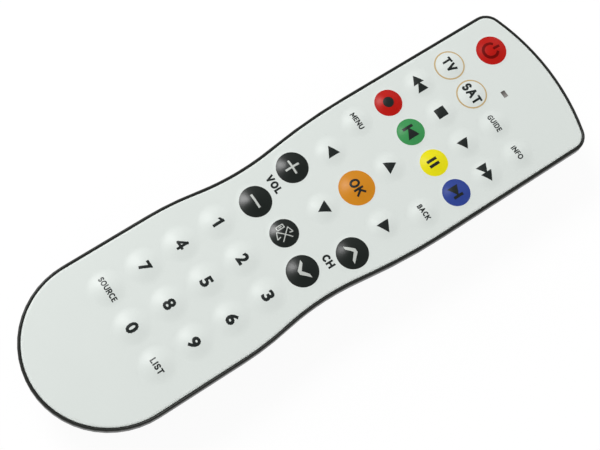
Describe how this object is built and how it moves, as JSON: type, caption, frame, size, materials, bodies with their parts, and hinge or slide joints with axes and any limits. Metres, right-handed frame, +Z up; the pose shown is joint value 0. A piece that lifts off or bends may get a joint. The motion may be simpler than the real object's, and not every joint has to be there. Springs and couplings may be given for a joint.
{
  "type": "universal remote control",
  "caption": "Slim infrared remote with a waisted black case, a white silicone keypad of domed keys, coloured function keys and a sliding battery cover.",
  "frame": {"origin": "under the middle of the case, on the plane it rests on", "axes": "+X to the right of the keypad, +Y towards the infrared end, +Z up through the keys"},
  "size_m": [0.0496, 0.175, 0.019],
  "materials": {
    "black_abs": "satin gloss, moulded",
    "white_silicone": "soft matte",
    "red_silicone": "soft matte print",
    "green_silicone": "soft matte print",
    "yellow_silicone": "soft matte print",
    "blue_silicone": "soft matte print",
    "orange_silicone": "soft matte print",
    "black_silicone": "soft matte print",
    "smoked_polycarbonate": "polished, dark tint",
    "board_laminate": "solder mask",
    "chip_epoxy": "moulded",
    "capacitor_sleeve": "shrink sleeve",
    "tinted_epoxy": "clear tint",
    "led_body": "moulded",
    "tinned_steel": "tinned",
    "cell_jacket": "printed film",
    "zinc_steel": "zinc plated"
  },
  "bodies": {
    "case": {"rear_shell": "black_abs", "front_frame": "black_abs", "keypad_skin": "white_silicone", "infrared_window": "smoked_polycarbonate", "circuit_board": "board_laminate", "controller_chip": "chip_epoxy", "memory_chip": "chip_epoxy", "crystal": "tinned_steel", "capacitor": "capacitor_sleeve", "transistor": "chip_epoxy", "chip_resistors": "chip_epoxy", "infrared_emitter": "tinted_epoxy", "indicator_light": "led_body", "light_pipe": "smoked_polycarbonate", "positive_contact": "tinned_steel", "negative_contact": "tinned_steel", "bridge_contact": "tinned_steel", "cell_left": "cell_jacket", "cell_right": "cell_jacket", "case_screws": "zinc_steel"},
    "battery_cover": {"battery_cover": "black_abs"},
    "key_power": {"key_power": "red_silicone"},
    "key_tv": {"key_tv": "white_silicone"},
    "key_sat": {"key_sat": "white_silicone"},
    "key_guide": {"key_guide": "white_silicone"},
    "key_info": {"key_info": "white_silicone"},
    "key_rewind": {"key_rewind": "white_silicone"},
    "key_stop": {"key_stop": "white_silicone"},
    "key_play": {"key_play": "white_silicone"},
    "key_forward": {"key_forward": "white_silicone"},
    "key_record": {"key_record": "red_silicone"},
    "key_previous": {"key_previous": "green_silicone"},
    "key_pause": {"key_pause": "yellow_silicone"},
    "key_next": {"key_next": "blue_silicone"},
    "key_menu": {"key_menu": "white_silicone"},
    "key_up": {"key_up": "white_silicone"},
    "key_back": {"key_back": "white_silicone"},
    "key_left": {"key_left": "white_silicone"},
    "key_ok": {"key_ok": "orange_silicone"},
    "key_right": {"key_right": "white_silicone"},
    "key_down": {"key_down": "white_silicone"},
    "key_volume_up": {"key_volume_up": "black_silicone"},
    "key_volume_down": {"key_volume_down": "black_silicone"},
    "key_mute": {"key_mute": "black_silicone"},
    "key_channel_up": {"key_channel_up": "black_silicone"},
    "key_channel_down": {"key_channel_down": "black_silicone"},
    "key_1": {"key_1": "white_silicone"},
    "key_2": {"key_2": "white_silicone"},
    "key_3": {"key_3": "white_silicone"},
    "key_4": {"key_4": "white_silicone"},
    "key_5": {"key_5": "white_silicone"},
    "key_6": {"key_6": "white_silicone"},
    "key_7": {"key_7": "white_silicone"},
    "key_8": {"key_8": "white_silicone"},
    "key_9": {"key_9": "white_silicone"},
    "key_source": {"key_source": "white_silicone"},
    "key_0": {"key_0": "white_silicone"},
    "key_list": {"key_list": "white_silicone"}
  },
  "joints": [
    {"name": "cover_slide", "type": "slide", "parent": "case", "child": "battery_cover", "axis": [0, -1, 0], "range_m": [0, 0.08]},
    {"name": "power_press", "type": "slide", "parent": "case", "child": "key_power", "axis": [0, 0, -1], "range_m": [0, 0.00085], "stiffness_N_per_m": 1200},
    {"name": "tv_press", "type": "slide", "parent": "case", "child": "key_tv", "axis": [0, 0, -1], "range_m": [0, 0.00085], "stiffness_N_per_m": 1200},
    {"name": "sat_press", "type": "slide", "parent": "case", "child": "key_sat", "axis": [0, 0, -1], "range_m": [0, 0.00085], "stiffness_N_per_m": 1200},
    {"name": "guide_press", "type": "slide", "parent": "case", "child": "key_guide", "axis": [0, 0, -1], "range_m": [0, 0.00085], "stiffness_N_per_m": 1200},
    {"name": "info_press", "type": "slide", "parent": "case", "child": "key_info", "axis": [0, 0, -1], "range_m": [0, 0.00085], "stiffness_N_per_m": 1200},
    {"name": "rewind_press", "type": "slide", "parent": "case", "child": "key_rewind", "axis": [0, 0, -1], "range_m": [0, 0.00085], "stiffness_N_per_m": 1200},
    {"name": "stop_press", "type": "slide", "parent": "case", "child": "key_stop", "axis": [0, 0, -1], "range_m": [0, 0.00085], "stiffness_N_per_m": 1200},
    {"name": "play_press", "type": "slide", "parent": "case", "child": "key_play", "axis": [0, 0, -1], "range_m": [0, 0.00085], "stiffness_N_per_m": 1200},
    {"name": "forward_press", "type": "slide", "parent": "case", "child": "key_forward", "axis": [0, 0, -1], "range_m": [0, 0.00085], "stiffness_N_per_m": 1200},
    {"name": "record_press", "type": "slide", "parent": "case", "child": "key_record", "axis": [0, 0, -1], "range_m": [0, 0.00085], "stiffness_N_per_m": 1200},
    {"name": "previous_press", "type": "slide", "parent": "case", "child": "key_previous", "axis": [0, 0, -1], "range_m": [0, 0.00085], "stiffness_N_per_m": 1200},
    {"name": "pause_press", "type": "slide", "parent": "case", "child": "key_pause", "axis": [0, 0, -1], "range_m": [0, 0.00085], "stiffness_N_per_m": 1200},
    {"name": "next_press", "type": "slide", "parent": "case", "child": "key_next", "axis": [0, 0, -1], "range_m": [0, 0.00085], "stiffness_N_per_m": 1200},
    {"name": "menu_press", "type": "slide", "parent": "case", "child": "key_menu", "axis": [0, 0, -1], "range_m": [0, 0.00085], "stiffness_N_per_m": 1200},
    {"name": "up_press", "type": "slide", "parent": "case", "child": "key_up", "axis": [0, 0, -1], "range_m": [0, 0.00085], "stiffness_N_per_m": 1200},
    {"name": "back_press", "type": "slide", "parent": "case", "child": "key_back", "axis": [0, 0, -1], "range_m": [0, 0.00085], "stiffness_N_per_m": 1200},
    {"name": "left_press", "type": "slide", "parent": "case", "child": "key_left", "axis": [0, 0, -1], "range_m": [0, 0.00085], "stiffness_N_per_m": 1200},
    {"name": "ok_press", "type": "slide", "parent": "case", "child": "key_ok", "axis": [0, 0, -1], "range_m": [0, 0.00085], "stiffness_N_per_m": 1200},
    {"name": "right_press", "type": "slide", "parent": "case", "child": "key_right", "axis": [0, 0, -1], "range_m": [0, 0.00085], "stiffness_N_per_m": 1200},
    {"name": "down_press", "type": "slide", "parent": "case", "child": "key_down", "axis": [0, 0, -1], "range_m": [0, 0.00085], "stiffness_N_per_m": 1200},
    {"name": "volume_up_press", "type": "slide", "parent": "case", "child": "key_volume_up", "axis": [0, 0, -1], "range_m": [0, 0.00085], "stiffness_N_per_m": 1200},
    {"name": "volume_down_press", "type": "slide", "parent": "case", "child": "key_volume_down", "axis": [0, 0, -1], "range_m": [0, 0.00085], "stiffness_N_per_m": 1200},
    {"name": "mute_press", "type": "slide", "parent": "case", "child": "key_mute", "axis": [0, 0, -1], "range_m": [0, 0.00085], "stiffness_N_per_m": 1200},
    {"name": "channel_up_press", "type": "slide", "parent": "case", "child": "key_channel_up", "axis": [0, 0, -1], "range_m": [0, 0.00085], "stiffness_N_per_m": 1200},
    {"name": "channel_down_press", "type": "slide", "parent": "case", "child": "key_channel_down", "axis": [0, 0, -1], "range_m": [0, 0.00085], "stiffness_N_per_m": 1200},
    {"name": "1_press", "type": "slide", "parent": "case", "child": "key_1", "axis": [0, 0, -1], "range_m": [0, 0.00085], "stiffness_N_per_m": 1200},
    {"name": "2_press", "type": "slide", "parent": "case", "child": "key_2", "axis": [0, 0, -1], "range_m": [0, 0.00085], "stiffness_N_per_m": 1200},
    {"name": "3_press", "type": "slide", "parent": "case", "child": "key_3", "axis": [0, 0, -1], "range_m": [0, 0.00085], "stiffness_N_per_m": 1200},
    {"name": "4_press", "type": "slide", "parent": "case", "child": "key_4", "axis": [0, 0, -1], "range_m": [0, 0.00085], "stiffness_N_per_m": 1200},
    {"name": "5_press", "type": "slide", "parent": "case", "child": "key_5", "axis": [0, 0, -1], "range_m": [0, 0.00085], "stiffness_N_per_m": 1200},
    {"name": "6_press", "type": "slide", "parent": "case", "child": "key_6", "axis": [0, 0, -1], "range_m": [0, 0.00085], "stiffness_N_per_m": 1200},
    {"name": "7_press", "type": "slide", "parent": "case", "child": "key_7", "axis": [0, 0, -1], "range_m": [0, 0.00085], "stiffness_N_per_m": 1200},
    {"name": "8_press", "type": "slide", "parent": "case", "child": "key_8", "axis": [0, 0, -1], "range_m": [0, 0.00085], "stiffness_N_per_m": 1200},
    {"name": "9_press", "type": "slide", "parent": "case", "child": "key_9", "axis": [0, 0, -1], "range_m": [0, 0.00085], "stiffness_N_per_m": 1200},
    {"name": "source_press", "type": "slide", "parent": "case", "child": "key_source", "axis": [0, 0, -1], "range_m": [0, 0.00085], "stiffness_N_per_m": 1200},
    {"name": "0_press", "type": "slide", "parent": "case", "child": "key_0", "axis": [0, 0, -1], "range_m": [0, 0.00085], "stiffness_N_per_m": 1200},
    {"name": "list_press", "type": "slide", "parent": "case", "child": "key_list", "axis": [0, 0, -1], "range_m": [0, 0.00085], "stiffness_N_per_m": 1200}
  ]
}
